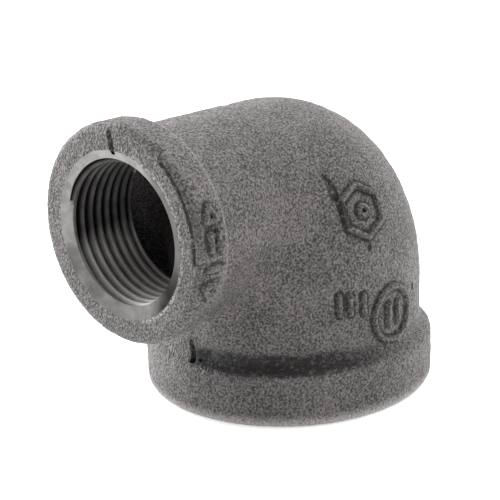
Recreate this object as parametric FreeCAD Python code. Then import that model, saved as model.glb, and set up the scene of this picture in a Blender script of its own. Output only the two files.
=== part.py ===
"""Reducing 90 degree pipe elbow, 1-1/4 x 3/4 NPT, Class 150 malleable iron.

The elbow is one iron casting, tapped at both ends. It is written here as the three regions that a fitter
names, each a closed solid that meets the next one face to face:

    large_socket   banded end with the 1-1/4 NPT internal thread
    elbow_body     hollow bend that turns the flow and takes up the reduction
    small_socket   banded end with the 3/4 NPT internal thread

Frame: the origin is the centre of the large end's face. +Z is the axis of the large end, into the fitting,
and the small end faces -X. The casting is symmetric about the XZ plane.
"""
import FreeCAD
import Part

import math
import os

from FreeCAD import Matrix, Vector

# Driving dimensions, in millimetres, by their usual names in the tables of fittings.
LARGE_FACE_TO_SMALL_AXIS = 36.83
SMALL_FACE_TO_LARGE_AXIS = 41.15

LARGE = {
    "threads_per_inch": 11.5,
    "pitch_diameter": 40.218,  # of the internal thread, at the face
    "thread_length": 17.0,
    "mouth_radius": 21.6,  # outer edge of the chamfer
    "chamfer_depth": 1.0,
    "band_radius": 27.345,
    "band_width": 9.9,
    "face_edge": 0.9,  # rounding between the band and its face
    "back_edge": 1.1,  # rounding between the band and its ledge
    "neck_fillet": 1.0,
    "neck_radius": 25.2,
    "chamber_radius": 21.5,
}
SMALL = {
    "threads_per_inch": 14.0,
    "pitch_diameter": 25.117,
    "thread_length": 13.9,
    "mouth_radius": 14.0,
    "chamfer_depth": 0.85,
    "band_radius": 18.515,
    "band_width": 6.93,
    "face_edge": 1.2,
    "back_edge": 1.1,
    "neck_fillet": 1.0,
    "neck_radius": 16.4,
    "chamber_radius": 13.35,
}

TAPER = 1.0 / 32.0  # radius lost per unit of depth
FLANK_ANGLE = 30.0
THREAD_SECTORS = 8  # a turn of crest is this many short strips of the tap drill's cylinder

DOME_CENTRE_X = -5.0  # the crown of the bend is level up to here, then a quarter ellipse
DOME_CENTRE_Z = 20.0
BEND_STEP = 10  # degrees between the sections of the bend
WIDENING_STARTS = 20.0  # turn at which the sides of the bend begin to widen, in degrees
WIDENING_SPAN = 60.0

# The bend turns about this line, parallel to Y, where the planes of the two inner socket ends cross.
PIVOT_X = SMALL["thread_length"] - SMALL_FACE_TO_LARGE_AXIS
PIVOT_Z = LARGE["thread_length"]


def inch_pitch(end):
    return 25.4 / end["threads_per_inch"]


def crest_radius(end):
    """Radius of the tap drill, which the thread's crests keep."""
    return end["pitch_diameter"] / 2 - 0.4 * inch_pitch(end)


def root_radius(end, depth):
    """Radius of the tapered thread's root at a depth from the face."""
    return end["pitch_diameter"] / 2 + 0.335 * inch_pitch(end) - TAPER * depth


def arc(centre, radius, start, end):
    """Arc in the half plane (radius, depth), between two angles in degrees."""
    angles = [math.radians(a) for a in (start, (start + end) / 2, end)]
    points = [Vector(centre[0] + radius * math.cos(a), 0, centre[1] + radius * math.sin(a)) for a in angles]
    return Part.Arc(*points).toShape()


def outline(items):
    """Closed face from corner points and arcs, joined in order by straight lines."""
    ends = []
    for item in items:
        if isinstance(item, tuple):
            point = Vector(item[0], 0, item[1])
            ends.append((point, point, []))
        else:
            ends.append((item.firstVertex(True).Point, item.lastVertex(True).Point, [item]))
    edges = []
    for (_, here, own), (there, _, _) in zip(ends, ends[1:] + ends[:1]):
        edges += own
        if here.distanceToPoint(there) > 1e-6:
            edges.append(Part.makeLine(here, there))
    return Part.Face(Part.Wire(edges))


def turned(face, angle=360.0):
    return face.revolve(Vector(0, 0, 0), Vector(0, 0, 1), angle)


def socket_blank(end):
    """Outside of a socket, solid, with its face at depth 0."""
    band, width = end["band_radius"], end["band_width"]
    front, back = end["face_edge"], end["back_edge"]
    neck, fillet = end["neck_radius"], end["neck_fillet"]
    return turned(
        outline(
            [
                (0, 0),
                arc((band - front, front), front, -90, 0),
                arc((band - back, width - back), back, 0, 90),
                arc((neck + fillet, width + fillet), fillet, -90, -180),
                (neck, end["thread_length"]),
                (0, end["thread_length"]),
            ]
        )
    )


def drill(end):
    """Tap drill and mouth chamfer, as one solid of equal sectors."""
    crest, bottom = crest_radius(end), end["thread_length"]
    profile = outline(
        [(0, 0), (end["mouth_radius"], 0), (crest, end["chamfer_depth"]), (crest, bottom), (0, bottom)]
    )
    sector = turned(profile, 360.0 / THREAD_SECTORS)
    sectors = []
    for k in range(THREAD_SECTORS):
        one = sector.copy()
        one.rotate(Vector(0, 0, 0), Vector(0, 0, 1), k * 360.0 / THREAD_SECTORS)
        sectors.append(one)
    return sectors[0].multiFuse(sectors[1:])


def thread_groove(end):
    """Right-hand tapered groove, swept from a pitch outside the face to a pitch beyond the thread."""
    pitch, start = inch_pitch(end), -inch_pitch(end)
    root = root_radius(end, start)
    height = root - crest_radius(end) + 0.02 * pitch
    flat = 0.03 * pitch
    wide = flat + height * math.tan(math.radians(FLANK_ANGLE))
    helix = Part.makeLongHelix(pitch, end["thread_length"] + 2 * pitch, root, -math.degrees(math.atan(TAPER)))
    helix.translate(Vector(0, 0, start))
    corners = [
        Vector(root, 0, start - flat),
        Vector(root, 0, start + flat),
        Vector(root - height, 0, start + wide),
        Vector(root - height, 0, start - wide),
    ]
    sweep = Part.BRepOffsetAPI.MakePipeShell(Part.Wire(helix.Edges))
    sweep.setFrenetMode(True)
    sweep.add(Part.makePolygon(corners + corners[:1]), False, False)
    sweep.build()
    sweep.makeSolid()
    return sweep.shape()


def socket(end):
    """A threaded socket in its own frame: its face at depth 0 on the XY plane, its depth along +Z."""
    return socket_blank(end).cut(drill(end)).cut(thread_groove(end))


def small_socket_place(shape):
    """Turn a shape from the socket's own frame to the small end of the elbow."""
    shape.rotate(Vector(0, 0, 0), Vector(0, 1, 0), 90)
    shape.translate(Vector(-SMALL_FACE_TO_LARGE_AXIS, 0, LARGE_FACE_TO_SMALL_AXIS))
    return shape


def smooth(share):
    share = min(max(share, 0.0), 1.0)
    return share * share * (3 - 2 * share)


def crown_distance(turn):
    """Distance from the pivot to the outside of the bend, in the XZ plane, at a turn in radians."""
    crown_z = LARGE_FACE_TO_SMALL_AXIS + SMALL["neck_radius"]
    half_x = LARGE["neck_radius"] - DOME_CENTRE_X
    half_z = crown_z - DOME_CENTRE_Z
    along_x, along_z = math.sin(turn), math.cos(turn)
    level = (crown_z - PIVOT_Z) / along_z if along_z > 0.01 else 1000.0
    if PIVOT_X + level * along_x <= DOME_CENTRE_X:
        return level
    upright = (LARGE["neck_radius"] - PIVOT_X) / along_x
    if PIVOT_Z + upright * along_z <= DOME_CENTRE_Z:
        return upright
    # Where the ray from the pivot crosses the quarter ellipse.
    from_x, from_z = (PIVOT_X - DOME_CENTRE_X) / half_x, (PIVOT_Z - DOME_CENTRE_Z) / half_z
    step_x, step_z = along_x / half_x, along_z / half_z
    a = step_x**2 + step_z**2
    b = from_x * step_x + from_z * step_z
    c = from_x**2 + from_z**2 - 1
    return (-b + math.sqrt(b * b - a * c)) / a


def bend_section(degrees, wall):
    """Oval of the bend in the half plane through the pivot line, wall thickness inside the outer surface.

    wall is the pair of thicknesses at the small and at the large end.
    """
    turn = math.radians(degrees)
    share = smooth(degrees / 90.0)
    inset = wall[0] + (wall[1] - wall[0]) * share
    near_small = LARGE_FACE_TO_SMALL_AXIS - SMALL["neck_radius"] - PIVOT_Z
    near_large = -LARGE["neck_radius"] - PIVOT_X
    inner = near_small + (near_large - near_small) * share + inset
    outer = crown_distance(turn) - inset
    widening = smooth((degrees - WIDENING_STARTS) / WIDENING_SPAN)
    half_width = SMALL["neck_radius"] + (LARGE["neck_radius"] - SMALL["neck_radius"]) * widening - inset
    middle, half_depth = (inner + outer) / 2, (outer - inner) / 2
    radial = Vector(math.sin(turn), 0, math.cos(turn))
    centre = Vector(PIVOT_X, 0, PIVOT_Z) + radial * middle
    rows = (
        (radial.x * half_depth, 0, math.cos(turn), centre.x),
        (0, half_width, 0, 0),
        (radial.z * half_depth, 0, -math.sin(turn), centre.z),
        (0, 0, 0, 1),
    )
    oval = Matrix(*[value for row in rows for value in row])
    circle = Part.makeCircle(1.0).toNurbs()
    return Part.Wire(circle.transformGeometry(oval).Edges)


def elbow_body():
    """The bend as outer skin, cavity skin and the two flat rings that meet the sockets, sewn together."""
    cavity_wall = [end["neck_radius"] - end["chamber_radius"] for end in (SMALL, LARGE)]
    turns = range(0, 90 + BEND_STEP, BEND_STEP)
    outside, cavity = [[bend_section(turn, wall) for turn in turns] for wall in ((0.0, 0.0), cavity_wall)]
    rings = [Part.Face(outside[k]).cut(Part.Face(cavity[k])) for k in (0, -1)]
    skins = [Part.makeLoft(sections, False) for sections in (outside, cavity)]
    skin = Part.makeCompound([face for shape in skins + rings for face in shape.Faces])
    skin.sewShape()
    return Part.Solid(skin.Shells[0])


os.makedirs("parts", exist_ok=True)
nodes = {
    "large_socket": socket(LARGE),
    "elbow_body": elbow_body(),
    "small_socket": small_socket_place(socket(SMALL)),
}
for name, shape in nodes.items():
    solid = shape.Solids[0]
    print(name, "solids", len(shape.Solids), "valid", solid.isValid(), "volume", round(solid.Volume, 1))
    solid.exportStep("parts/" + name + ".step")
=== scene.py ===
"""Looks of the pipe elbow: a sand-cast iron reducing elbow with a tapped mouth at each end.

The casting is one closed mesh. Its rough outside is the zero level of a distance function, turned into
quads. The cavity, the chamfers and the tapped threads are cut out of it, and the cut metal has its own
material.
Lengths are in millimetres until the last step, which turns the mesh into metres in the CAD frame.
"""

import math

import bmesh
import bpy
import numpy as np
from mathutils import Matrix, Vector, noise


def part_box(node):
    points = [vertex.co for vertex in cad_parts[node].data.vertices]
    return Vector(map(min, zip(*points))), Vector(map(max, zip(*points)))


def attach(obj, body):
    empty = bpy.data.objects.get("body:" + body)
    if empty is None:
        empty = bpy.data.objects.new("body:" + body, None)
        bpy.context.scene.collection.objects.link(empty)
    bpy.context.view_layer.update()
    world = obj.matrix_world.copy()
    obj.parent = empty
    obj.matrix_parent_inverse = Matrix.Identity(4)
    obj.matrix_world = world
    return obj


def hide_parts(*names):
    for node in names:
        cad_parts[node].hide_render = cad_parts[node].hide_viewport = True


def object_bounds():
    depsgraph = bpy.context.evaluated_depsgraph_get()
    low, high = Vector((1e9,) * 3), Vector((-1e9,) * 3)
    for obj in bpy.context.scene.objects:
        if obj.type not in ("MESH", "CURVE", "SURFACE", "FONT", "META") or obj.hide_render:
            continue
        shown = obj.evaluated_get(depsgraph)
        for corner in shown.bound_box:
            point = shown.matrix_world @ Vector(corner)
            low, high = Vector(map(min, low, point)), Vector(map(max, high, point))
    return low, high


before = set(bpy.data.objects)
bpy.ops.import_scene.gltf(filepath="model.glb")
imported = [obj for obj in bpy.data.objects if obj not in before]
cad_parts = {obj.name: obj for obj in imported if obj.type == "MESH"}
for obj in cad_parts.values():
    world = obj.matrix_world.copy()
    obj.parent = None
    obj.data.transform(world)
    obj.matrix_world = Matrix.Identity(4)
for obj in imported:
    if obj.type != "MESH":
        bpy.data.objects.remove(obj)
CAD_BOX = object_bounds()

MM = 0.001

# ---------------------------------------------------------------------------------------------------------
# Sizes. The frame gives the bands, the thread lengths and the two axes. The necks, mouths and threads have
# the part's own sizes, and the rounded edges and fillets are softer than the part's.
# ---------------------------------------------------------------------------------------------------------


def node_box(node):
    low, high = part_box(node)
    return np.array(low) / MM, np.array(high) / MM


LARGE_LOW, LARGE_HIGH = node_box("large_socket")
SMALL_LOW, SMALL_HIGH = node_box("small_socket")

LARGE = {
    "band_radius": (LARGE_HIGH[0] - LARGE_LOW[0]) / 2,
    "band_width": 9.9,
    "face_edge": 1.3,
    "back_edge": 1.5,
    "neck_radius": 25.2,
    "neck_fillet": 1.6,
    "pitch": 25.4 / 11.5,
    "pitch_radius": 20.109,
    "thread_length": LARGE_HIGH[2],
    "mouth_radius": 21.6,
    "chamfer_depth": 1.0,
}
SMALL = {
    "band_radius": (SMALL_HIGH[2] - SMALL_LOW[2]) / 2,
    "band_width": 6.93,
    "face_edge": 1.5,
    "back_edge": 1.5,
    "neck_radius": 16.4,
    "neck_fillet": 1.6,
    "pitch": 25.4 / 14.0,
    "pitch_radius": 12.559,
    "thread_length": SMALL_HIGH[0] - SMALL_LOW[0],
    "mouth_radius": 14.0,
    "chamfer_depth": 0.85,
}
SMALL_FACE_X = SMALL_LOW[0]
BEND_START_X = SMALL_FACE_X + 12.7  # end of the straight neck behind the small band
SMALL_AXIS_Z = (SMALL_LOW[2] + SMALL_HIGH[2]) / 2

SKIN_SINK = 0.06  # the bands are drawn this much small, so that their rough skin stays in the CAD box
TAPER = 1.0 / 32.0
FLANK_SLOPE = math.tan(math.radians(30.0))

VOXEL = 0.55  # side of the grid's cells
FINE_BAND = 2.0  # distance from the skin inside which the field is worked out at every voxel
COARSE = 5  # voxels between the points where it is worked out elsewhere
THREAD_SEGMENTS = 144
EDGES_PER_GROOVE = 4  # helical edges of the tap: two at the crests and two at the root
FIRST_GROOVE = -1  # the tap starts one turn outside the face
RUN_IN = 0.6  # turns over which the first groove reaches its full depth

LEDGE_RECESS = 1.1  # depth of the hollow that runs round the neck above the large band
LEDGE_HEIGHT = 10.9  # of the hollow's middle above the large face
LEDGE_SPREAD = 1.5  # how far above and below its middle the hollow reaches
LEDGE_TURNS = (177, 282)  # directions about the large axis, in degrees, between which it runs
CROTCH_X = -12.0  # the small neck is filleted to the large one up to here
CROTCH_FILLET = 4.0
MARK_HALF_WIDTH = 0.40
MARK_HEIGHT = 0.65
TRENCH_DEPTH = 0.2  # of the hollow round each raised line
LUMP_HEIGHT = 0.16
TENT_FRONT = (-0.82, -0.48, 0.31)  # direction of the tent's dim opening
TENT_FALL = (0.1, 0.95, 2.0, 0.25)  # cosines to the opening between which it dims, and the strength at each
HEXAGON_PLACE = (-4.6, -21.2, 35.6)
RING_PLACE = (-1.1, -25.2, 16.8)
ROW_OF_BARS = ((-12.2, -22.0, 20.8), (-10.4, -22.9, 20.6), (-7.9, -24.0, 20.2))

CAMERA_PLACE = (-154.44, -130.38, 86.96)
CAMERA_ANGLES = (-47.96, 17.30, -2.63)  # azimuth, elevation and roll, in degrees
CAMERA_LENS = 80.8  # for a film 36 wide
LIGHTS = {  # place and target in metres, size in metres and power in watts
    "top": ((0.05, 0.05, 0.7), (0, 0, 0.03), 0.6, 2.5),
    "left": ((-0.10, 0.50, 0.12), (0, 0, 0.02), 0.4, 3.5),
}

# ---------------------------------------------------------------------------------------------------------
# The outside of the casting as a distance function
# ---------------------------------------------------------------------------------------------------------


def cubic(a, b, c, d, t):
    """Points of a Bezier curve with these four handles."""
    t = t[:, None]
    return (1 - t) ** 3 * a + 3 * (1 - t) ** 2 * t * b + 3 * (1 - t) * t**2 * c + t**3 * d


def smooth(share):
    """An S-shaped step from 0 to 1."""
    share = np.clip(share, 0.0, 1.0)
    return share * share * (3 - 2 * share)


def bend_balls(count=72):
    """Centres and radii of the balls whose envelope is the bend, from the small neck to the large one."""
    start = np.array([BEND_START_X, 0, SMALL_AXIS_Z])
    end = np.array([0, 0, LARGE_HIGH[2]])
    t = np.linspace(0, 1, count)
    centres = cubic(start, start + [30.5, 0, 0], end + [0, 0, 14.8], end, t)
    grow = smooth((t - 0.084) / 0.867)
    radii = SMALL["neck_radius"] + (LARGE["neck_radius"] - SMALL["neck_radius"]) * grow
    return centres, radii


BALLS, BALL_RADII = bend_balls()
LOWER_BALLS = slice(44, None)  # those of the large neck, which meet the small neck in a fillet


def envelope(points, which=slice(None)):
    """Distance to the balls of the bend."""
    best = np.full(len(points), np.inf)
    for centre, radius in zip(BALLS[which], BALL_RADII[which]):
        away = points - centre
        best = np.minimum(best, np.sqrt(np.einsum("ij,ij->i", away, away)) - radius)
    return best


def soft_union(a, b, reach):
    """Distance to two solids together, with a fillet where they meet."""
    overlap = np.maximum(reach - np.abs(a - b), 0.0) / reach
    return np.minimum(a, b) - overlap * overlap * reach / 4


def band(radius, depth, end):
    """Distance to a socket's band: a disc with its two rims rounded."""
    half = end["band_width"] / 2
    edge = np.where(depth < half, end["face_edge"], end["back_edge"])
    across = radius - (end["band_radius"] - SKIN_SINK - edge)
    along = np.abs(depth - half) - (half - edge)
    outside = np.hypot(np.maximum(across, 0), np.maximum(along, 0))
    return outside + np.minimum(np.maximum(across, along), 0) - edge


def turn_about_large_axis(x, y):
    return np.degrees(np.arctan2(y, x)) % 360


def ledge_recess(points):
    """Depth of the hollow above the large band, which starts abruptly and fades out round one side."""
    x, y, z = points.T
    turn = turn_about_large_axis(x, y)
    ends = smooth((turn - LEDGE_TURNS[0]) / 6) * smooth((LEDGE_TURNS[1] - turn) / 50)
    return LEDGE_RECESS * np.exp(-(((z - LEDGE_HEIGHT) / LEDGE_SPREAD) ** 2)) * ends


def casting(points):
    """Distance from the solid outside of the casting, before the ends are bored."""
    x, y, z = points.T
    from_large_axis = np.hypot(x, y)
    from_small_axis = np.hypot(y, z - SMALL_AXIS_Z)
    depth = x - SMALL_FACE_X
    small_neck = np.where(x < BEND_START_X, from_small_axis - SMALL["neck_radius"], np.inf)
    large_neck = np.where(z < LARGE_HIGH[2], from_large_axis - LARGE["neck_radius"], np.inf)
    neck_stub = np.maximum(from_small_axis - SMALL["neck_radius"], x - CROTCH_X)
    crotch = soft_union(neck_stub, envelope(points, LOWER_BALLS), CROTCH_FILLET)
    body = np.minimum.reduce([envelope(points), small_neck, large_neck, crotch]) + ledge_recess(points)
    whole = soft_union(body, band(from_large_axis, z, LARGE), LARGE["neck_fillet"])
    whole = soft_union(whole, band(from_small_axis, depth, SMALL), SMALL["neck_fillet"])
    whole = np.maximum(whole, -z)
    return np.maximum(whole, -depth)


# ---------------------------------------------------------------------------------------------------------
# Polygons of the skin
# ---------------------------------------------------------------------------------------------------------


def sampled_field():
    """The distance function on a grid, worked out at every voxel near the skin and coarsely elsewhere."""
    low = np.array(CAD_BOX[0]) / MM - 2 * VOXEL
    size = np.array(CAD_BOX[1]) / MM - low + 2 * VOXEL
    blocks = np.ceil(size / VOXEL / COARSE).astype(int) + 1
    coarse_axes = [low[k] + (np.arange(blocks[k]) + 0.5) * VOXEL * COARSE for k in range(3)]
    coarse_points = np.stack(np.meshgrid(*coarse_axes, indexing="ij"), -1).reshape(-1, 3)
    coarse = casting(coarse_points).reshape(blocks)
    field = coarse
    for axis in range(3):
        field = np.repeat(field, COARSE, axis=axis)
    near = np.abs(field) < FINE_BAND + VOXEL * COARSE * 0.87
    where = np.argwhere(near)
    field[near] = casting(low + where * VOXEL)
    return field, low


VOXEL_CORNERS = [(i, j, k) for i in (0, 1) for j in (0, 1) for k in (0, 1)]


def corner_values(field, step):
    """The field at one corner of every voxel."""
    i, j, k = step
    n = np.array(field.shape) - 1
    return field[i : n[0] + i, j : n[1] + j, k : n[2] + k]


def net_vertices(field, low, crossed):
    """For each crossed voxel, the middle of the points where its edges meet the zero level."""
    cells = np.argwhere(crossed)
    total, hits = np.zeros((len(cells), 3)), np.zeros(len(cells))
    for axis in range(3):
        for step in VOXEL_CORNERS:
            if step[axis]:
                continue
            other = tuple(s + (k == axis) for k, s in enumerate(step))
            a, b = corner_values(field, step)[crossed], corner_values(field, other)[crossed]
            change = (a < 0) != (b < 0)
            share = np.where(change, a / np.where(change, a - b, 1), 0)
            at = (cells + step).astype(float)
            at[:, axis] += share
            total[change] += at[change]
            hits[change] += 1
    return low + total / hits[:, None] * VOXEL


def net_quads(field, number):
    """A quad round each grid edge that crosses the zero level, from the numbers of the voxels about it."""
    quads = []
    for axis in range(3):
        ahead = [slice(None)] * 3
        behind = [slice(None)] * 3
        ahead[axis], behind[axis] = slice(1, None), slice(None, -1)
        a, b = field[tuple(behind)] < 0, field[tuple(ahead)] < 0
        u, v = [(1, 2), (2, 0), (0, 1)][axis]
        at = np.argwhere(a != b)
        leaving = a[tuple(at.T)]
        ring = []
        for du, dv in ((1, 1), (0, 1), (0, 0), (1, 0)):
            cell = at.copy()
            cell[:, u] -= du
            cell[:, v] -= dv
            ring.append(number[tuple(cell.T)])
        ring = np.stack(ring, -1)
        quads.append(np.where(leaving[:, None], ring, ring[:, ::-1]))
    return np.concatenate(quads)


def surface_net(field, low):
    """Vertices and quads of the zero level, one vertex to each voxel that it crosses."""
    below = sum((corner_values(field, step) < 0).astype(np.int8) for step in VOXEL_CORNERS)
    crossed = (below > 0) & (below < len(VOXEL_CORNERS))
    number = np.full(crossed.shape, -1)
    number[crossed] = np.arange(np.count_nonzero(crossed))
    return net_vertices(field, low, crossed), net_quads(field, number)


def gradient(function, points, reach=0.02):
    """Slope of a distance function."""
    steps = reach * np.eye(3)
    return np.stack([(function(points + step) - function(points - step)) / (2 * reach) for step in steps], -1)


def settle(function, points, rounds=2):
    """Move points onto the zero level, along its slope."""
    for _ in range(rounds):
        slope = gradient(function, points)
        steep = np.maximum(np.einsum("ij,ij->i", slope, slope), 0.25)
        step = np.clip(function(points) / steep, -VOXEL, VOXEL)
        points = points - slope * step[:, None]
    return points


def relaxed(vertices, quads, rounds=2):
    """Even out the vertices by moving each to the middle of its neighbours."""
    edges = np.concatenate([quads[:, [k, (k + 1) % 4]] for k in range(4)])
    count = np.bincount(edges[:, 0], minlength=len(vertices))[:, None]
    for _ in range(rounds):
        middle = np.stack(
            [np.bincount(edges[:, 0], vertices[edges[:, 1], k], len(vertices)) for k in range(3)], -1
        )
        vertices = 0.5 * vertices + 0.5 * middle / count
        vertices = settle(casting, vertices, 1)
    return vertices


# ---------------------------------------------------------------------------------------------------------
# Marks and flaws of the casting: lines on the skin, raised or sunk
# ---------------------------------------------------------------------------------------------------------


def mark_place(middle):
    """A point of the skin, with the unit vectors to the right and up along the skin there."""
    middle = settle(casting, np.array([middle], float), 6)
    outward = gradient(casting, middle)[0]
    outward /= np.linalg.norm(outward)
    right = np.cross((0, 0, 1), outward)
    right /= np.linalg.norm(right)
    return middle[0], right, np.cross(outward, right)


def divided(corners, step=0.6):
    """Points along straight runs between corners, no more than a step apart."""
    points = [corners[0]]
    for a, b in zip(corners, corners[1:]):
        count = max(1, math.ceil(math.dist(a, b) / step))
        points += [tuple(p + (q - p) * k / count for p, q in zip(a, b)) for k in range(1, count + 1)]
    return np.array(points)


def drawn(place, corners):
    """A line on the skin, from its corners' distances to the right of a mark's middle and above it."""
    middle, right, up = place
    flat = divided(corners)
    return settle(casting, middle + flat[:, :1] * right + flat[:, 1:] * up, 6)


def regular(corners, wide, high, first=90.0):
    """Corners of a closed regular figure, stretched to its width and height."""
    angles = [math.radians(first + 360.0 * k / corners) for k in range(corners + 1)]
    return [(wide * math.cos(a), high * math.sin(a)) for a in angles]


def upright(shift, height):
    """Ends of an upright bar that stands to the right of a mark's middle."""
    return [(shift, -height / 2), (shift, height / 2)]


def on_small_face(path):
    """A line on the small end's face, from its angles in degrees and radii about the small axis."""
    angles, radii = np.radians([p[0] for p in path]), np.array([p[1] for p in path])
    face = np.full(len(path), SMALL_FACE_X)
    points = np.stack([face, -radii * np.cos(angles), SMALL_AXIS_Z + radii * np.sin(angles)], -1)
    return divided([tuple(p) for p in points])


def small_band_place(degrees, along):
    """A mark's place on the small band, from its angle about the axis and its distance from the face."""
    angle = math.radians(degrees)
    aside, above = -SMALL["band_radius"] * math.cos(angle), SMALL["band_radius"] * math.sin(angle)
    return mark_place((SMALL_FACE_X + along, aside, SMALL_AXIS_Z + above))


def raised_marks():
    """Raised marks: a hexagon with a ringlet, a ring with two bars, a row of bars, and the small band's."""
    hexagon = mark_place(HEXAGON_PLACE)
    ring = mark_place(RING_PLACE)
    lines = [
        drawn(hexagon, regular(6, 4.5, 4.7)),
        drawn(hexagon, regular(8, 0.9, 0.9)),
        drawn(ring, regular(24, 4.7, 4.9)),
        drawn(ring, upright(-1.3, 3.6)),
        drawn(ring, upright(1.3, 3.6)),
    ]
    lines += [drawn(mark_place(bar), upright(0, 3.2)) for bar in ROW_OF_BARS]
    lines.append(drawn(small_band_place(16.5, 3.2), regular(3, 1.5, 1.5)))
    lines += [drawn(small_band_place(4.4, 3.2), upright(shift, 2.6)) for shift in (-0.9, 0.9)]
    lines.append(drawn(small_band_place(-8.9, 2.8), [(-1.2, 0), (1.2, 0)]))
    lines.append(drawn(small_band_place(-20.0, 2.6), regular(3, 1.5, 1.5, -90.0)))
    return lines


def flaws():
    """Sunk lines of the skin, as (line, half width, depth).

    A notch and a crease on the small face, two gashes above the large band, three slashes beside the
    hexagon, and two pits.
    """
    notch = [(90.4, 16.7), (89.7, 15.5), (88.6, 13.6)]
    crease = [(angle, 17.35 - 0.45 * math.sin(math.radians(70 - angle))) for angle in range(50, -10, -4)]
    long_gash = [(-25.8, 0.4, 9.9), (-24.9, 0.9, 11.0), (-24.9, 1.1, 13.2)]
    short_gash = [(-25.0, -1.0, 10.3), (-24.9, -1.1, 11.7)]
    chill = mark_place((-8.9, -18.8, 39.0))
    return [
        (on_small_face(notch), 0.38, 0.60),
        (on_small_face(crease), 0.20, 0.36),
        (divided(long_gash), 0.42, 0.65),
        (divided(short_gash), 0.30, 0.45),
        (drawn(chill, [(-0.9, 3.6), (-0.3, 2.0)]), 0.35, 0.25),
        (drawn(chill, [(-0.3, 1.9), (0.0, -0.4)]), 0.85, 0.35),
        (drawn(chill, [(0.1, -0.6), (0.6, -3.2), (0.9, -5.6)]), 0.45, 0.25),
        (drawn(mark_place((6.3, -24.4, 19.5)), [(0, 0.3), (0, -0.3)]), 0.45, 0.35),
        (drawn(mark_place((-5.3, -23.4, 29.7)), [(0, 0.2), (0, -0.2)]), 0.35, 0.25),
    ]


RAISED = raised_marks()
FLAWS = flaws()


def distance_to_line(points, line, reach):
    """Distance from each point to a line, as far as the reach, and the reach beyond it."""
    distance = np.full(len(points), float(reach))
    middle = line.mean(0)
    span = np.linalg.norm(line - middle, axis=1).max() + reach
    near = np.flatnonzero(((points - middle) ** 2).sum(1) < span**2)
    close = points[near]
    best = distance[near]
    for a, b in zip(line, line[1:]):
        along = b - a
        share = np.clip((close - a) @ along / (along @ along), 0, 1)
        best = np.minimum(best, np.linalg.norm(close - a - share[:, None] * along, axis=1))
    distance[near] = best
    return distance


def step_down(distance, edge, soft):
    """1 inside an edge, 0 outside, with a smooth slope of the given width."""
    return smooth((edge - distance) / soft + 0.5)


def mark_relief(points):
    """Height of the marks above the skin, and the darkening of their corners and of the flaws, from 0 to 1:
    dirt and painted shade.
    """
    height, floor, dirt_and_shade = np.zeros((3, len(points)))
    for line in RAISED:
        distance = distance_to_line(points, line, 2.0)
        # The hollow round each raised line is darkened with dirt and painted shade.
        trench = step_down(distance, MARK_HALF_WIDTH + 0.55, 0.5)
        trench = trench - step_down(distance, MARK_HALF_WIDTH + 0.1, 0.3)
        ridge = step_down(distance, MARK_HALF_WIDTH, 0.3)
        height = np.maximum(height, MARK_HEIGHT * ridge - TRENCH_DEPTH * trench)
        floor = np.minimum(floor, -TRENCH_DEPTH * trench)
        dirt_and_shade = np.maximum(dirt_and_shade * (1 - ridge), trench)
    height = np.where(height > 0, height, floor)
    for line, half, depth in FLAWS:
        distance = distance_to_line(points, line, 2.0)
        height -= depth * step_down(distance, half, 0.3)
        # Each flaw is darkened along its length with dirt and painted shade.
        dirt_and_shade = np.maximum(dirt_and_shade, step_down(distance, half + 0.1, 0.3))
    return height, dirt_and_shade


def near_marks(points):
    """Whether points lie on a mark or a flaw, or just beside one."""
    near = np.zeros(len(points), bool)
    widths = [(line, MARK_HALF_WIDTH) for line in RAISED] + [(line, half) for line, half, _ in FLAWS]
    for line, half in widths:
        near |= distance_to_line(points, line, half + 0.8) < half + 0.75
    return near


def lumps(points):
    """Uneven height of the sand mould, in lumps one to four millimetres wide, from about -1 to 0."""
    values = [
        0.6 * noise.noise(Vector(p) * 0.45) + 0.5 * noise.noise(Vector(p) * 0.95 + Vector((7, 3, 5)))
        for p in points.tolist()
    ]
    return np.clip(np.array(values), -0.8, 0.8) - 0.5


def roughened(points):
    """The skin moved along its slope by its lumps and marks, and kept inside the CAD box."""
    outward = gradient(casting, points)
    outward /= np.linalg.norm(outward, axis=1, keepdims=True)
    height, _ = mark_relief(points)
    on_face = np.minimum(points[:, 0] - SMALL_FACE_X, points[:, 2]) < 0.3
    height += LUMP_HEIGHT * lumps(points) * np.where(on_face, 0.25, 1.0)
    points = points + outward * height[:, None]
    low, high = np.array(CAD_BOX) / MM
    points[:, 2] = np.where(points[:, 2] < 0.03, 0, points[:, 2])
    return np.clip(points, low + 0.004, high - 0.004)


def refine_marks(body):
    """Divide the quads that carry marks, so that their relief has enough vertices."""
    mesh = body.data
    edit = bmesh.new()
    edit.from_mesh(mesh)
    middles = np.array([(e.verts[0].co + e.verts[1].co)[:] for e in edit.edges]) / 2
    chosen = [e for e, near in zip(edit.edges[:], near_marks(middles)) if near]
    bmesh.ops.subdivide_edges(edit, edges=chosen, cuts=2, use_grid_fill=True)
    edit.to_mesh(mesh)
    edit.free()


def mesh_points(mesh):
    points = np.empty(len(mesh.vertices) * 3)
    mesh.vertices.foreach_get("co", points)
    return points.reshape(-1, 3)


# ---------------------------------------------------------------------------------------------------------
# Cutters: the cavity, the chamfers and the tapped threads
# ---------------------------------------------------------------------------------------------------------

TO_LARGE = Matrix.Identity(4)
TO_SMALL = Matrix.Translation((SMALL_FACE_X, 0, SMALL_AXIS_Z)) @ Matrix.Rotation(math.radians(90), 4, "Y")


def mesh_object(name, vertices, faces, place=None):
    mesh = bpy.data.meshes.new(name)
    mesh.from_pydata([tuple(v) for v in vertices], [], [tuple(f) for f in faces])
    if place is not None:
        mesh.transform(place)
    mesh.update()
    thing = bpy.data.objects.new(name, mesh)
    bpy.context.scene.collection.objects.link(thing)
    return thing


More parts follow.
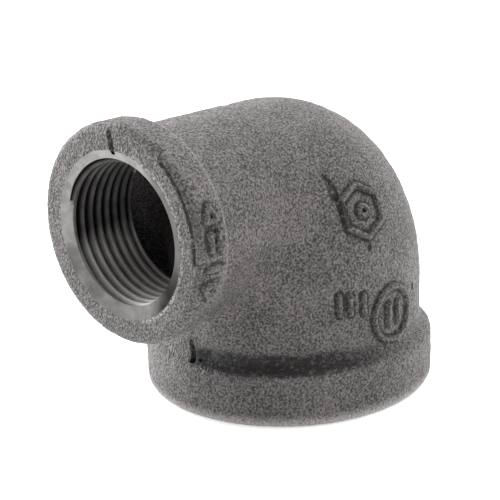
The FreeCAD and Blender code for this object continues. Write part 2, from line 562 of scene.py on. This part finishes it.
def closed_rings(rings):
    """Faces of a solid from rings of equal length, with a fan to a middle point at each end."""
    count = len(rings[0])
    vertices = np.concatenate(rings + [rings[0].mean(0)[None], rings[-1].mean(0)[None]])
    first, last = len(vertices) - 2, len(vertices) - 1
    faces = []
    for r in range(len(rings) - 1):
        for k in range(count):
            n = (k + 1) % count
            faces.append((r * count + k, r * count + n, (r + 1) * count + n, (r + 1) * count + k))
    base = (len(rings) - 1) * count
    for k in range(count):
        n = (k + 1) % count
        faces.append((first, n, k))
        faces.append((last, base + k, base + n))
    return vertices, faces


def turned_rings(profile, segments):
    """Rings of a turned solid from its (radius, depth) points."""
    angle = np.linspace(0, 2 * math.pi, segments, endpoint=False)
    return [np.stack([r * np.cos(angle), r * np.sin(angle), np.full(segments, s)], -1) for r, s in profile]


def crest_radius(end):
    """Radius of the tap drill, which the thread's crests keep."""
    return end["pitch_radius"] - 0.4 * end["pitch"]


def chamfer_cutter(end):
    crest, mouth, deep = crest_radius(end), end["mouth_radius"], end["chamfer_depth"]
    slope = (mouth - crest) / deep
    profile = [(mouth + 0.6 * slope, -0.6), (crest - 0.3 * slope, deep + 0.3)]
    return closed_rings(turned_rings(profile, THREAD_SEGMENTS))


def thread_edge(end, k, angle):
    """Radius and depth of the tap's k-th helical edge at an angle.

    The roots taper and the crests keep the tap drill's radius. The first groove runs in from nothing at the
    face, where its root stays a hair above the crest, so that the tap doesn't fold.
    """
    pitch, flat, crest = end["pitch"], 0.03 * end["pitch"], crest_radius(end)
    centre = (FIRST_GROOVE + k // EDGES_PER_GROOVE + angle / (2 * math.pi)) * pitch
    full = end["pitch_radius"] + 0.335 * pitch - TAPER * centre
    root = crest + 0.002 + (full - crest) * float(smooth(centre / pitch / RUN_IN))
    wide = min(flat + (root - crest) * FLANK_SLOPE, 0.49 * pitch)
    side = k % EDGES_PER_GROOVE
    radius = crest if side in (0, 3) else root
    return radius, centre + (-wide, -flat, flat, wide)[side]


def thread_cutter(end):
    """The tap, a right-hand screw: helical edges, joined after a turn to those one groove further on."""
    rows = (math.ceil(end["thread_length"] / end["pitch"]) + 2) * EDGES_PER_GROOVE
    vertices, number = [], {}
    for j in range(THREAD_SEGMENTS):
        angle = 2 * math.pi * j / THREAD_SEGMENTS
        for k in range(rows + (EDGES_PER_GROOVE if j == 0 else 0)):
            radius, depth = thread_edge(end, k, angle)
            number[j, k] = len(vertices)
            vertices.append((radius * math.cos(angle), radius * math.sin(angle), depth))
    for k in range(rows):
        number[THREAD_SEGMENTS, k] = number[0, k + EDGES_PER_GROOVE]
    faces = []
    for j in range(THREAD_SEGMENTS):
        for k in range(rows - 1):
            faces.append((number[j, k], number[j + 1, k], number[j + 1, k + 1], number[j, k + 1]))
    for k, turn in ((0, -1), (rows - 1, 1)):
        loop = [number[j, k] for j in range(THREAD_SEGMENTS)]
        loop += [number[0, k + EDGES_PER_GROOVE - step] for step in range(EDGES_PER_GROOVE)]
        middle = len(vertices)
        vertices.append((0, 0, thread_edge(end, k, math.pi)[1]))
        for a, b in zip(loop, loop[1:] + loop[:1]):
            faces.append((middle, a, b)[::turn])
    return vertices, faces


def cavity_cutter(segments=72):
    """The cored cavity behind the threads: ovals in the half planes through the bend's pivot line."""
    pivot = np.array([SMALL_HIGH[0], 0, LARGE_HIGH[2]])
    angle = np.linspace(0, 2 * math.pi, segments, endpoint=False)
    rings = []
    for degrees in range(0, 91, 5):
        turn = math.radians(degrees)
        share = float(smooth(np.array(degrees / 90)))
        wide = float(smooth(np.array((degrees - 20) / 60)))
        wall = 3.05 + 0.65 * share
        inner = SMALL_AXIS_Z - SMALL["neck_radius"] - pivot[2]
        inner += (-LARGE["neck_radius"] - pivot[0] - inner) * share + wall
        outward = np.array([math.sin(turn), 0, math.cos(turn)])
        outer = crown_distance(pivot, outward) - wall
        half_width = SMALL["neck_radius"] + (LARGE["neck_radius"] - SMALL["neck_radius"]) * wide - wall
        middle, half_depth = (inner + outer) / 2, (outer - inner) / 2
        ring = pivot + outward * (middle + half_depth * np.cos(angle))[:, None]
        ring[:, 1] += half_width * np.sin(angle)
        rings.append(ring)
    return closed_rings(rings)


def crown_distance(pivot, outward):
    """Distance from the pivot, along a direction, at which it leaves the skin of the bend."""
    steps = np.arange(20, 70, 0.1)
    points = pivot + outward * steps[:, None]
    return float(steps[np.argmax(envelope(points) > 0)])


def carve(body, cutter):
    """Take a cutter away from the body and delete it."""
    cut = body.modifiers.new("cut", "BOOLEAN")
    cut.operation = "DIFFERENCE"
    cut.solver = "MANIFOLD"
    cut.object = cutter
    bpy.context.view_layer.update()
    carved = bpy.data.meshes.new_from_object(body.evaluated_get(bpy.context.evaluated_depsgraph_get()))
    body.modifiers.clear()
    old, body.data = body.data, carved
    bpy.data.meshes.remove(old)
    bpy.data.meshes.remove(cutter.data)


def solid_cutter(name, shape, place):
    """A cutter from its (vertices, faces), with its faces turned outwards."""
    cutter = mesh_object(name, *shape, place)
    edit = bmesh.new()
    edit.from_mesh(cutter.data)
    bmesh.ops.recalc_face_normals(edit, faces=edit.faces)
    edit.to_mesh(cutter.data)
    edit.free()
    return cutter


def build_casting():
    """The bored and tapped casting, in millimetres."""
    field, low = sampled_field()
    vertices, quads = surface_net(field, low)
    vertices = settle(casting, vertices)
    vertices = relaxed(vertices, quads)
    body = mesh_object("elbow_casting", vertices, quads)
    refine_marks(body)
    body.data.vertices.foreach_set("co", roughened(mesh_points(body.data)).ravel())
    for name, shape, place in (
        ("cavity", cavity_cutter(), TO_LARGE),
        ("large_chamfer", chamfer_cutter(LARGE), TO_LARGE),
        ("small_chamfer", chamfer_cutter(SMALL), TO_SMALL),
        ("large_tap", thread_cutter(LARGE), TO_LARGE),
        ("small_tap", thread_cutter(SMALL), TO_SMALL),
    ):
        carve(body, solid_cutter(name, shape, place))
    return body


# ---------------------------------------------------------------------------------------------------------
# Materials
# ---------------------------------------------------------------------------------------------------------


class Nodes:
    """A short way to write a node tree: add makes a node and links or sets its inputs by name."""

    def __init__(self, name):
        self.material = bpy.data.materials.new(name)
        self.material.use_nodes = True
        self.tree = self.material.node_tree
        self.shader = self.tree.nodes["Principled BSDF"]

    def add(self, kind, settings=None, **inputs):
        node = self.tree.nodes.new("ShaderNode" + kind)
        for key, value in (settings or {}).items():
            setattr(node, key, value)
        for key, value in inputs.items():
            self.plug(value, node.inputs[key.replace("_", " ")])
        return node

    def plug(self, value, socket):
        if isinstance(value, bpy.types.NodeSocket):
            self.tree.links.new(value, socket)
        else:
            socket.default_value = value

    def set(self, **inputs):
        for key, value in inputs.items():
            self.plug(value, self.shader.inputs[key.replace("_", " ")])

    def ramp(self, factor, stops):
        """A colour ramp between two stops, each a (position, colour)."""
        node = self.add("ValToRGB", Fac=factor)
        for element, (position, colour) in zip(node.color_ramp.elements, stops):
            element.position = position
            element.color = (*colour, 1)
        return node.outputs["Color"]

    def noise(self, size_mm, detail=2.0, roughness=0.5):
        """Noise in the part's own frame, with features of about this size."""
        place = self.add("TexCoord").outputs["Object"]
        scale = 1 / (size_mm * MM)
        node = self.add("TexNoise", Vector=place, Scale=scale, Detail=detail, Roughness=roughness)
        return node.outputs["Fac"]

    def mix(self, share, first, second):
        """A colour between two, each a socket or an (r, g, b)."""
        node = self.add("MixRGB", Fac=share)
        for value, socket in ((first, node.inputs["Color1"]), (second, node.inputs["Color2"])):
            self.plug((*value, 1) if isinstance(value, tuple) else value, socket)
        return node.outputs["Color"]

    def maths(self, operation, a, b=0.0):
        node = self.add("Math", {"operation": operation})
        self.plug(a, node.inputs[0])
        self.plug(b, node.inputs[1])
        return node.outputs["Value"]


def cast_skin():
    """Sand-cast iron under a thin black coat: a pebbled grain, dirt and painted shade in its hollows and
    above the large band, and rubbed edges with painted highlights.
    """
    n = Nodes("cast_skin")
    grain = n.noise(0.36, detail=1.5, roughness=0.5)
    patch = n.noise(7.0, detail=3.0)
    shade = n.maths("ADD", n.maths("MULTIPLY", grain, 0.8), n.maths("MULTIPLY", patch, 0.2))
    colour = n.ramp(shade, [(0.38, (0.014, 0.013, 0.013)), (0.65, (0.158, 0.141, 0.138))])
    tone = n.add("Attribute", {"attribute_name": "tone"}).outputs["Fac"]
    speckle = n.maths("ADD", n.maths("MULTIPLY", n.noise(0.9, detail=3.0, roughness=0.7), 5.0), -1.9)
    in_hollows = n.maths("MULTIPLY", tone, speckle)
    # Negative tone turns the skin near black: dirt, and painted shade in the hollows and above the large
    # band.
    dirt_and_shade_colour = n.mix(n.add("MapRange", Value=in_hollows, From_Min=-0.08, From_Max=-0.42).outputs["Result"],
                  colour, n.mix(grain, (0.002, 0.002, 0.002), (0.022, 0.020, 0.019)))
    # Positive tone lightens the skin: wear, and painted highlights and a painted floor reflection on the
    # edges.
    on_edges = n.maths("MULTIPLY", tone, n.maths("MULTIPLY", grain, 2.0))
    rubbed_and_lit = n.mix(n.add("MapRange", Value=on_edges, From_Min=0.0, From_Max=1.0).outputs["Result"],
                   dirt_and_shade_colour, (0.36, 0.345, 0.335))
    pebbles = n.add("Bump", Strength=1.0, Distance=0.45 * MM, Height=grain).outputs["Normal"]
    fine = n.add("Bump", Strength=0.5, Distance=0.06 * MM, Height=n.noise(0.22), Normal=pebbles)
    rough = n.add("MapRange", Value=grain, From_Min=0.3, From_Max=0.7, To_Min=0.7, To_Max=0.45)
    n.set(Base_Color=rubbed_and_lit, Roughness=rough.outputs["Result"], Normal=fine.outputs["Normal"])
    return n.material


def machined():
    """Cut iron: bare grey metal with tool lines, with painted shade towards the roots of the threads and
    painted light on their low side.
    """
    n = Nodes("machined_thread")
    tone = n.add("Attribute", {"attribute_name": "tone"}).outputs["Fac"]
    depth = n.add("Attribute", {"attribute_name": "cut_depth"}).outputs["Fac"]
    lines = n.add("TexNoise", {"noise_dimensions": "1D"}, W=depth, Scale=9.0, Detail=2.0).outputs["Fac"]
    patch = n.noise(2.2, detail=3.0)
    metal = n.ramp(patch, [(0.35, (0.150, 0.138, 0.136)), (0.65, (0.235, 0.236, 0.226))])
    # Negative tone darkens the metal towards black: painted shade.
    painted_shade_mix = n.mix(n.add("MapRange", Value=tone, From_Min=-0.05, From_Max=-0.7).outputs["Result"],
                   metal, (0.007, 0.006, 0.006))
    # Positive tone pales the metal: painted light on the threads' low side.
    colour = n.mix(n.add("MapRange", Value=tone).outputs["Result"], painted_shade_mix, (0.62, 0.58, 0.57))
    tooling = n.add("Bump", Strength=0.35, Distance=0.05 * MM, Height=lines).outputs["Normal"]
    grain = n.add("Bump", Strength=0.3, Distance=0.05 * MM, Height=n.noise(0.4), Normal=tooling)
    rough = n.add("MapRange", Value=tone, From_Min=-0.05, From_Max=-0.7, To_Min=0.45, To_Max=0.9)
    shine = n.add("MapRange", Value=tone, From_Min=-0.05, From_Max=-0.7, To_Min=0.5, To_Max=0.02)
    n.set(Base_Color=colour, Roughness=rough.outputs["Result"], Metallic=0.2,
          Specular_IOR_Level=shine.outputs["Result"], Normal=grain.outputs["Normal"])
    return n.material


def end_coordinates(points):
    """Radius about each end's axis and depth from its face."""
    x, y, z = points.T
    return (np.hypot(x, y), z, LARGE), (np.hypot(y, z - SMALL_AXIS_Z), x - SMALL_FACE_X, SMALL)


def is_machined(points):
    """Whether points of the finished mesh lie in a chamfer or a thread."""
    cut = np.zeros(len(points), bool)
    for radius, depth, end in end_coordinates(points):
        bored = radius < end["mouth_radius"] + 0.02 - np.clip(depth, 0, 0.5)
        deep = (radius < end["mouth_radius"] - 0.3) & (depth < end["thread_length"] - 1e-3)
        cut |= (bored | deep) & (depth > 1e-4) & (depth < end["thread_length"] - 1e-3)
    return cut


def near_side(points, start, width):
    """0 up to a distance from the XZ plane, on the side that carries the marks, and 1 beyond it."""
    return smooth((-points[:, 1] - start) / width)


def wear_and_highlights(points):
    """How much the edges are lightened, from 0 to 1: wear and a painted highlight on the small band's back
    and one side of the mouth, and a painted reflection of the floor on the foot.
    """
    (large_radius, large_depth, _), (radius, depth, end) = end_coordinates(points)
    back = np.hypot(radius - end["band_radius"] + 0.4, depth - end["band_width"] + 0.5)
    foot = np.hypot(large_radius - LARGE["band_radius"] + 0.4, large_depth - 0.4)
    # The foot's bright rim is a painted reflection of the floor; the band's back is wear and a painted
    # highlight.
    rubbed_and_lit = np.maximum(0.3 * step_down(back, 0.5, 1.4), step_down(foot, 1.0, 2.4))
    lip = step_down(np.abs(radius - end["mouth_radius"] - 0.2), 0.25, 0.35) * (depth < 0.3)
    return np.maximum(rubbed_and_lit, 0.8 * lip * near_side(points, 1.0, 6.0))


def cut_shading(points):
    """Tone of the cut surfaces: the threads darker than the chamfers, as under a coat, with painted shade
    deepening towards the roots and on the chamfers' near and low sides, and painted light on the threads' low
    side.
    """
    dark = np.zeros(len(points))
    low_side = smooth((SMALL_AXIS_Z - 1.0 - points[:, 2]) / 6.0)
    for radius, depth, end in end_coordinates(points):
        crest = crest_radius(end)
        inside = (radius < end["mouth_radius"] + 0.1) & (depth < end["thread_length"] + 0.01) & (depth > 0)
        in_groove = np.clip((radius - crest) / (0.6 * end["pitch"]), 0, 1)
        share = np.clip(1 - depth / end["chamfer_depth"], 0, 1)
        near_face = depth < end["chamfer_depth"] + 0.1
        chamfer = near_face & (radius < crest + (end["mouth_radius"] - crest) * share + 0.05)
        # Painted shade deepens into the grooves; the threads' low side is painted lighter.
        thread_shading = -0.45 - 0.5 * in_groove + low_side * (1.1 - 0.6 * in_groove)
        # Painted shade on the chamfer's low and near sides.
        chamfer_shading = -0.26 * low_side - 0.4 * near_side(points, 5.0, 5.0)
        dark = np.where(inside, np.where(chamfer, chamfer_shading, thread_shading), dark)
    return dark


def write_attribute(mesh, name, values):
    mesh.attributes.new(name, "FLOAT", "POINT").data.foreach_set("value", np.asarray(values, np.float32))


def painted_ledge_shade(points):
    """Painted shade outside the bore, from the middle of the hollow down to the band, thinner at its far end.
    """
    x, y, z = points.T
    above_ledge = np.stack([x, y, np.maximum(z, LEDGE_HEIGHT)], -1)
    thinning = 0.3 + 0.65 * smooth((265 - turn_about_large_axis(x, y)) / 45)
    ledge = ledge_recess(above_ledge) / LEDGE_RECESS * (np.hypot(x, y) > 22.5) * thinning
    return ledge * smooth((z - LARGE["band_width"] + 0.8) / 0.6)


def small_face_darkening(points):
    """The small face made a little darker towards its top and its marked side."""
    x, y, z = points.T
    return 0.25 * ((x < SMALL_FACE_X + 0.6) * smooth((z - SMALL_AXIS_Z - y) / 16 + 0.3))


def paint(mesh):
    """Write what the materials read: the tone of each vertex, which holds wear, dirt, painted shade and
    painted light, and its depth in millimetres from a face.
    """
    points = mesh_points(mesh)
    _, dirt_and_shade = mark_relief(settle(casting, points, 3))
    # Darkening: dirt and painted shade at the marks, painted shade above the large band, and the small face
    # darker towards its top.
    dirt_and_shade = dirt_and_shade + painted_ledge_shade(points) + small_face_darkening(points)
    tone = wear_and_highlights(points) - dirt_and_shade
    tone = np.where(is_machined(points), cut_shading(points), tone)
    (_, large_depth, _), (_, small_depth, _) = end_coordinates(points)
    write_attribute(mesh, "tone", np.clip(tone, -1, 1))
    write_attribute(mesh, "cut_depth", np.minimum(large_depth, small_depth))


def mark_sharp_edges(mesh):
    """Edges that bound a cut surface, and the sharp ones on it, are shaded sharp."""
    edit = bmesh.new()
    edit.from_mesh(mesh)
    for edge in edit.edges:
        machined_faces = sum(face.material_index for face in edge.link_faces)
        corner = machined_faces == 2 and edge.calc_face_angle(0) > math.radians(25)
        edge.smooth = not (machined_faces == 1 or corner)
    edit.to_mesh(mesh)
    edit.free()


def finish_casting(body):
    """Give the casting its materials and shading, and turn it into metres."""
    mesh = body.data
    mesh.materials.clear()
    mesh.materials.append(cast_skin())
    mesh.materials.append(machined())
    middles = np.empty(len(mesh.polygons) * 3)
    mesh.polygons.foreach_get("center", middles)
    cut = is_machined(middles.reshape(-1, 3))
    mesh.polygons.foreach_set("material_index", cut.astype(np.int32))
    mesh.polygons.foreach_set("use_smooth", np.ones(len(mesh.polygons), bool))
    mark_sharp_edges(mesh)
    paint(mesh)
    mesh.transform(Matrix.Scale(MM, 4))
    mesh.update()


# ---------------------------------------------------------------------------------------------------------
# Stage, light and camera
# ---------------------------------------------------------------------------------------------------------


def light_table():
    """A matt white table with a soft light of its own, so that the casting hardly shades it."""
    n = Nodes("floor")
    n.set(Base_Color=(0.9, 0.9, 0.9, 1), Roughness=0.6, Emission_Color=(1, 1, 1, 1), Emission_Strength=0.45)
    return n.material


def studio_world():
    """A white tent, brighter at the sides, behind and above the casting than in front; seen plain white."""
    world = bpy.data.worlds.new("studio")
    world.use_nodes = True
    tree = world.node_tree
    new, link = tree.nodes.new, tree.links.new
    direction = new("ShaderNodeTexCoord").outputs["Generated"]
    facing = new("ShaderNodeVectorMath")
    facing.operation = "DOT_PRODUCT"
    facing.inputs[1].default_value = TENT_FRONT
    link(direction, facing.inputs[0])
    gradient_stops = new("ShaderNodeMapRange")
    gradient_stops.interpolation_type = "SMOOTHSTEP"
    for name, value in zip(("From Min", "From Max", "To Min", "To Max"), TENT_FALL):
        gradient_stops.inputs[name].default_value = value
    link(facing.outputs["Value"], gradient_stops.inputs["Value"])
    tent = tree.nodes["Background"]
    link(gradient_stops.outputs["Result"], tent.inputs["Strength"])
    tent.inputs["Color"].default_value = (1, 1, 1, 1)
    plain = new("ShaderNodeBackground")
    plain.inputs["Color"].default_value = (1, 1, 1, 1)
    choice = new("ShaderNodeMixShader")
    link(new("ShaderNodeLightPath").outputs["Is Camera Ray"], choice.inputs["Fac"])
    link(tent.outputs["Background"], choice.inputs[1])
    link(plain.outputs["Background"], choice.inputs[2])
    link(choice.outputs["Shader"], tree.nodes["World Output"].inputs["Surface"])
    return world


def build_stage():
    floor = mesh_object("floor", [(-3, -3, 0), (3, -3, 0), (3, 3, 0), (-3, 3, 0)], [(0, 1, 2, 3)])
    floor.data.materials.append(light_table())
    bpy.context.scene.world = studio_world()
    bpy.context.scene.view_settings.view_transform = "Standard"


def soft_light(name, place, target, size, power):
    """A square area light that faces its target."""
    light = bpy.data.lights.new(name, "AREA")
    light.energy = power
    light.size = size
    lamp = bpy.data.objects.new(name, light)
    lamp.location = place
    aim = Vector(target) - Vector(place)
    lamp.rotation_euler = aim.to_track_quat("-Z", "Y").to_euler()
    bpy.context.scene.collection.objects.link(lamp)


def build_camera():
    """The camera that was fitted to the photograph."""
    azimuth, elevation, roll = (math.radians(a) for a in CAMERA_ANGLES)
    level = math.cos(elevation)
    back = Vector((math.sin(azimuth) * level, -math.cos(azimuth) * level, math.sin(elevation)))
    right = Vector((math.cos(azimuth), math.sin(azimuth), 0))
    up = back.cross(right)
    turn = Matrix((right, up, back)).transposed().to_4x4() @ Matrix.Rotation(roll, 4, "Z")
    data = bpy.data.cameras.new("camera")
    data.lens = CAMERA_LENS
    data.sensor_width = 36
    data.clip_start = 0.01
    camera = bpy.data.objects.new("camera", data)
    camera.matrix_world = Matrix.Translation(Vector(CAMERA_PLACE) * MM) @ turn
    bpy.context.scene.collection.objects.link(camera)
    bpy.context.scene.camera = camera


casting_piece = build_casting()
finish_casting(casting_piece)
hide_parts("large_socket", "elbow_body", "small_socket")
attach(casting_piece, "root")

build_stage()
for light_name, light_settings in LIGHTS.items():
    soft_light(light_name, *light_settings)
build_camera()
